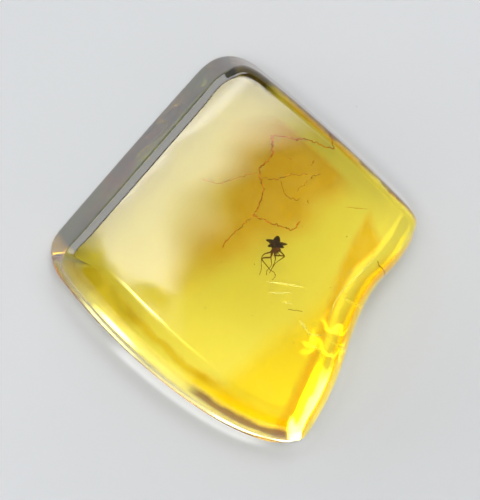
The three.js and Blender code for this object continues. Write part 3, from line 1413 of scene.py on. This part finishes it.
@dataclass
class FlowLayers:
    """Pale wisps and thin dark seams left where the resin flowed over itself."""

    seed: int = 41
    pale: tuple[Wisp, ...] = (
        Wisp(((2.0, -1.9), (3.5, -2.1), (5.1, -2.4)), 6.6, 0.16),
        Wisp(((2.3, -2.8), (3.3, -2.9), (4.2, -2.9)), 6.6, 0.14),
        Wisp(((3.4, -3.6), (4.2, -3.8)), 6.6, 0.12),
        Wisp(((4.9, -5.2), (5.4, -5.8), (5.9, -6.4), (6.9, -6.6)), 6.2, 0.28),
        Wisp(((5.7, -7.3), (6.5, -7.7), (7.1, -8.7)), 6.0, 0.30),
        Wisp(((7.5, -7.0), (8.1, -7.5), (8.6, -8.0)), 6.0, 0.26),
        Wisp(((11.6, 0.0), (10.1, -1.4), (8.6, -2.9), (7.9, -4.0), (7.5, -5.0)), 5.8, 0.12),
        Wisp(((8.6, -3.4), (9.3, -3.8), (10.0, -4.1)), 5.8, 0.22),
    )
    dull: tuple[Wisp, ...] = (
        Wisp(((4.0, -4.3), (5.2, -4.5)), 6.4, 0.05),
        Wisp(((11.6, -0.4), (11.75, -0.9), (11.9, -1.6)), 5.6, 0.07),
        Wisp(((8.9, -8.3), (8.75, -9.2), (8.5, -10.2)), 5.0, 0.06),
    )
    specks: int = 26
    speck_radius: float = 0.05

    def build(self, pale: Veil, dull: Stain) -> list[bpy.types.Object]:
        """Build the wisps, seams and specks.

        Args:
            pale: The finish of the pale wisps.
            dull: The finish of the dark seams and specks.

        Returns:
            The pieces.
        """
        return [
            settle(self.bands("flow_wisps", self.pale), pale.material()),
            settle(self.dark_marks("dark_seams"), dull.material()),
        ]

    def bands(self, name: str, wisps: Sequence[Wisp]) -> bpy.types.Object:
        """Gather flat bands, their cover fading towards the edges and where they start.

        Args:
            name: The object's name.
            wisps: The bands.

        Returns:
            The piece.
        """
        rng = np.random.default_rng(self.seed)
        gather = Gather()
        for wisp in wisps:
            level = shift_route(wisp.route, rng, 0.03)
            share = np.linspace(0.0, 1.0, len(level))
            half = 0.5 * wisp.width * np.sin(math.pi * np.clip(share, 0.02, 0.98)) ** 0.5
            route = np.column_stack([level, np.full(len(level), wisp.height)])
            gather.tube(route, half, 12, 0.12)
            added = gather.points[-1]
            nearest = np.linalg.norm(added[:, None, :2] - level[None], axis=2).min(axis=1)
            ends = np.interp(np.linalg.norm(added[:, :2] - level[0], axis=1), [0.0, 0.5], [0.0, 1.0])
            gather.marks[-1] = np.clip(1.1 - nearest / (0.5 * wisp.width), 0.0, 1.0) * ends
        return gather.build(name)

    def dark_marks(self, name: str) -> bpy.types.Object:
        """Gather the dark seams and the specks of dust.

        Args:
            name: The object's name.

        Returns:
            The piece.
        """
        rng = np.random.default_rng(self.seed + 1)
        gather = Gather()
        for seam in self.dull:
            level = shift_route(seam.route, rng, 0.02)
            route = np.column_stack([level, np.full(len(level), seam.height)])
            gather.tube(route, np.full(len(level), seam.width / 2), 8)
        for _ in range(self.specks):
            spot = np.array([rng.normal(2.0, 4.0), rng.normal(1.0, 4.0), rng.uniform(3.0, 6.0)])
            size = self.speck_radius * rng.uniform(0.4, 1.0)
            points, faces = egg(spot, (size, size * 0.7, size * 0.5), 0.2, int(rng.integers(99)), 4.0, 6)
            gather.add(points, faces)
        return gather.build(name)


# ---- Ground, light and camera ------------------------------------------------------------------


@dataclass(frozen=True)
class Gleam:
    """Light that the stone gathers on the ground by one edge.

    inset is where it starts and ends in from the outline, along where it starts and ends towards
    the upper left and across towards the upper right, all in millimetres.
    """

    level: float
    inset: tuple[float, float]
    along: tuple[float, float]
    across: tuple[float, float]
    softness: float = 1.0
    end_softness: float = 3.0

    def mask(self, inset: Value, along: Value, across: Value) -> Value:
        """Work out where the gleam is.

        Args:
            inset: Millimetres in from the outline.
            along: Metres towards the upper left.
            across: Metres towards the upper right.

        Returns:
            1 in the gleam and 0 away from it.
        """
        soft, fade = self.softness / 2, self.end_softness / 2
        mask = inset.rise(self.inset[0] - soft, self.inset[0] + soft)
        mask = mask * inset.rise(self.inset[1] + soft, self.inset[1] - soft)
        for value, (start, end) in ((along, self.along), (across, self.across)):
            mask = mask * value.rise((start - fade) * MM, (start + fade) * MM)
            mask = mask * value.rise((end + fade) * MM, (end - fade) * MM)
        return mask


@dataclass
class PaleGround:
    """A matt pale ground with the light that comes through the stone on to it."""

    gap: float = 0.03
    albedo: float = 0.645
    tint: tuple[float, float, float] = (0.970, 0.995, 1.02)
    spill_level: float = 0.5
    spill_towards: float = -52.0
    spill_start: float = -14.0
    spill_end: float = 15.0
    gleams: tuple[Gleam, ...] = (
        Gleam(5.5, (4.22, 4.37), (1.2, 4.6), (-20.0, -5.0), 0.03, 2.4),
        Gleam(0.3, (4.14, 4.30), (-4.0, 6.0), (-20.0, -5.0), 0.06, 4.0),
        Gleam(0.12, (3.9, 9.0), (-14.0, 3.0), (-20.0, -4.0), 0.3, 5.0),
        Gleam(1.6, (1.2, 2.8), (0.6, 6.0), (-20.0, -6.0), 0.3, 2.4),
        Gleam(0.5, (1.2, 2.8), (-13.0, 0.6), (-20.0, -6.0), 0.3, 2.4),
        Gleam(0.28, (-0.9, -0.1), (-13.0, 2.0), (-20.0, -6.0), 0.5),
        Gleam(0.08, (-1.1, -0.1), (-20.0, 9.0), (-20.0, 2.0), 0.9, 6.0),
        Gleam(6.0, (0.7, 2.6), (-20.0, -8.0), (-12.0, -3.2), 0.5, 2.0),
        Gleam(0.4, (0.3, 0.8), (-20.0, -5.0), (-3.0, 12.0), 0.4, 2.0),
    )
    curls: Gleam = Gleam(0.9, (0.8, 5.0), (-12.6, -9.2), (-2.6, 1.6), 0.6, 0.8)
    fine_insets: tuple[float, ...] = tuple(5.0 - 0.25 * k for k in range(29))
    inner_scales: tuple[float, ...] = (0.0001, 0.35, 0.7)
    outer_scales: tuple[float, ...] = (1.3, 1.6, 2.2, 4.0, 10.0, 100.0)

    def build(self, tablet: Tablet) -> bpy.types.Object:
        """Build the ground in rings round the stone's outline.

        Args:
            tablet: The stone.

        Returns:
            The ground.
        """
        line = tablet.outline()
        fine = [line.points * (1 - inset / line.reach)[:, None] for inset in self.fine_insets]
        levels = [fine[0] * scale for scale in self.inner_scales] + fine
        levels += [fine[-1] * scale for scale in self.outer_scales]
        insets = [self.fine_insets[0]] * len(self.inner_scales) + list(self.fine_insets)
        insets += [self.fine_insets[-1]] * len(self.outer_scales)
        rows = [np.column_stack([level, np.full(len(level), -self.gap)]) for level in levels]
        count = len(line.points)
        faces = []
        for k in range(len(rows) - 1):
            for i in range(count):
                j = (i + 1) % count
                faces.append((k * count + i, (k + 1) * count + i, (k + 1) * count + j, k * count + j))
        ground = add_mesh("ground", np.concatenate(rows), faces)
        store(ground, "inset", np.repeat(insets, count))
        ground.data.materials.append(self.material())
        return ground

    def material(self) -> bpy.types.Material:
        """Build the ground's finish.

        Returns:
            The material, which glows where the stone gathers light.
        """
        material, nodes, shader = new_material("ground")
        tone = tuple(self.albedo * part for part in self.tint)
        shader.inputs["Base Color"].default_value = (*tone, 1.0)
        shader.inputs["Roughness"].default_value = 1.0
        shader.inputs["Specular IOR Level"].default_value = 0.0
        shader.inputs["Emission Color"].default_value = (*self.tint, 1.0)
        place = nodes.place()
        inset = nodes.attribute("inset")
        along = nodes.along(place, UP_LEFT)
        across = nodes.along(place, UP_RIGHT)
        start, end = self.spill_start * MM, self.spill_end * MM
        spill = nodes.along(place, heading(self.spill_towards)).rise(start, end)
        level = inset.rise(-0.4, 0.4) * spill * self.spill_level
        for gleam in self.gleams:
            level = level + gleam.mask(inset, along, across) * gleam.level
        ripples = nodes.noise(place, 480.0, 1.0)
        thread = ripples.rise(0.45, 0.52) * ripples.rise(0.61, 0.54)
        level = level + thread * self.curls.mask(inset, along, across) * self.curls.level
        nodes.feed(shader.inputs["Emission Strength"], level)
        return material


@dataclass
class Studio:
    """One broad soft light, a low strip of light beyond the upper left and faint overhead light.

    Levels are radiances. Spans are the parts of the sky, as components of the ray's direction.
    """

    glow_from: float = -0.045
    glow_to: float = 0.125
    glow_bow: float = 1.05
    glow_middle: float = 0.16
    box_level: float = 7.6
    box_low_side: tuple[float, float] = (-0.28, -0.19)
    ripple: float = 0.14
    seam_place: float = 0.165
    seam_width: float = 0.025
    seam_level: float = 0.6
    strip_level: float = 6.0
    overhead: float = 0.3
    base_level: float = 0.02
    backdrop: float = 0.68

    def build(self) -> bpy.types.World:
        """Build the world light.

        Returns:
            The world.
        """
        world = bpy.data.worlds.new("studio")
        bpy.context.scene.world = world
        world.use_nodes = True
        nodes = Nodes(world.node_tree)
        ray = nodes.place("Generated")
        left = nodes.along(ray, heading(SOFT_LIGHT_HEADING))
        right = nodes.along(ray, heading(SOFT_LIGHT_HEADING - 90.0))
        height = nodes.along(ray, (0.0, 0.0, 1.0))
        wavy = right + self.ripple * (nodes.noise(ray, 9.0, 2.0) - 0.5)
        off_middle = right - self.glow_middle
        sweep = (left + off_middle * off_middle * self.glow_bow).rise(self.glow_from, self.glow_to)
        box = sweep * left.rise(0.5, 0.3) * wavy.rise(*self.box_low_side)
        box = box * right.rise(0.6, 0.4) * height.rise(0.3, 0.5)
        near, far = self.seam_place - self.seam_width, self.seam_place + self.seam_width
        seam = left.rise(near, self.seam_place) * left.rise(far, self.seam_place)
        strip = left.rise(0.45, 0.65) * height.rise(-0.01, 0.01) * height.rise(0.32, 0.22)
        level = box * self.box_level * (1.0 + self.seam_level * seam) + strip * self.strip_level
        level = level + height.rise(0.2, 0.9) * self.overhead + self.base_level
        seen = nodes.value(nodes.add("LightPath").outputs["Is Camera Ray"])
        level = level * (1.0 - seen) + seen * self.backdrop
        background = world.node_tree.nodes["Background"]
        background.inputs["Color"].default_value = (1.0, 1.0, 1.0, 1.0)
        nodes.feed(background.inputs["Strength"], level)
        return world


@dataclass
class Viewpoint:
    """A long lens above the stone, leaning a little towards its upper left."""

    target: tuple[float, float, float] = (0.29, 0.37, 4.0)
    lean_degrees: float = 9.0
    lean_heading: float = SOFT_LIGHT_HEADING
    distance: float = 300.0
    view_width: float = 42.5

    def build(self) -> bpy.types.Object:
        """Place the camera.

        Returns:
            The camera.
        """
        lean = math.tan(math.radians(self.lean_degrees))
        away = (Vector(heading(self.lean_heading)) * lean + Vector((0.0, 0.0, 1.0))).normalized()
        right = Vector((0.0, 1.0, 0.0)).cross(away).normalized()
        up = away.cross(right)
        place = (Vector(self.target) + away * self.distance) * MM
        data = bpy.data.cameras.new("camera")
        camera = bpy.data.objects.new("camera", data)
        bpy.context.scene.collection.objects.link(camera)
        camera.matrix_world = Matrix.Translation(place) @ Matrix((right, up, away)).transposed().to_4x4()
        data.lens = data.sensor_width * self.distance / self.view_width
        data.clip_start = 0.01
        data.clip_end = 10.0
        bpy.context.scene.camera = camera
        return camera


def set_light_paths() -> None:
    """Allow the many bounces that light takes inside a see-through solid."""
    scene = bpy.context.scene
    scene.view_settings.view_transform = "Standard"
    scene.cycles.max_bounces = 24
    scene.cycles.transmission_bounces = 20
    scene.cycles.glossy_bounces = 16
    scene.cycles.diffuse_bounces = 4
    scene.cycles.transparent_max_bounces = 24


def main() -> None:
    """Build the stone, what is sealed in it, the ground, the light and the camera."""
    logging.basicConfig(level=logging.INFO, format="%(message)s")
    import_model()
    tablet = Tablet()
    tablet.build(Resin())
    Fly().build(
        Chitin("insect_skin", (0.030, 0.010, 0.012), (0.055, 0.020, 0.014)),
        Chitin("insect_legs", (0.16, 0.050, 0.018), (0.26, 0.095, 0.025), 0.4),
        Membrane(),
    )
    CrackNet().build(
        Stain("stain_wide", (0.55, 0.15, 0.03), (0.95, 0.36, 0.08), 0.95),
        Stain("stain_thin", (0.62, 0.24, 0.05), (0.9, 0.45, 0.12), 0.8),
    )
    FlowLayers().build(
        Veil("pale_wisps", (0.98, 0.97, 0.60), 0.6),
        Stain("dark_dust", (0.30, 0.13, 0.03), (0.40, 0.2, 0.06), 0.9),
    )
    PaleGround().build(tablet)
    Studio().build()
    Viewpoint().build()
    set_light_paths()


if __name__ == "__main__":
    main()
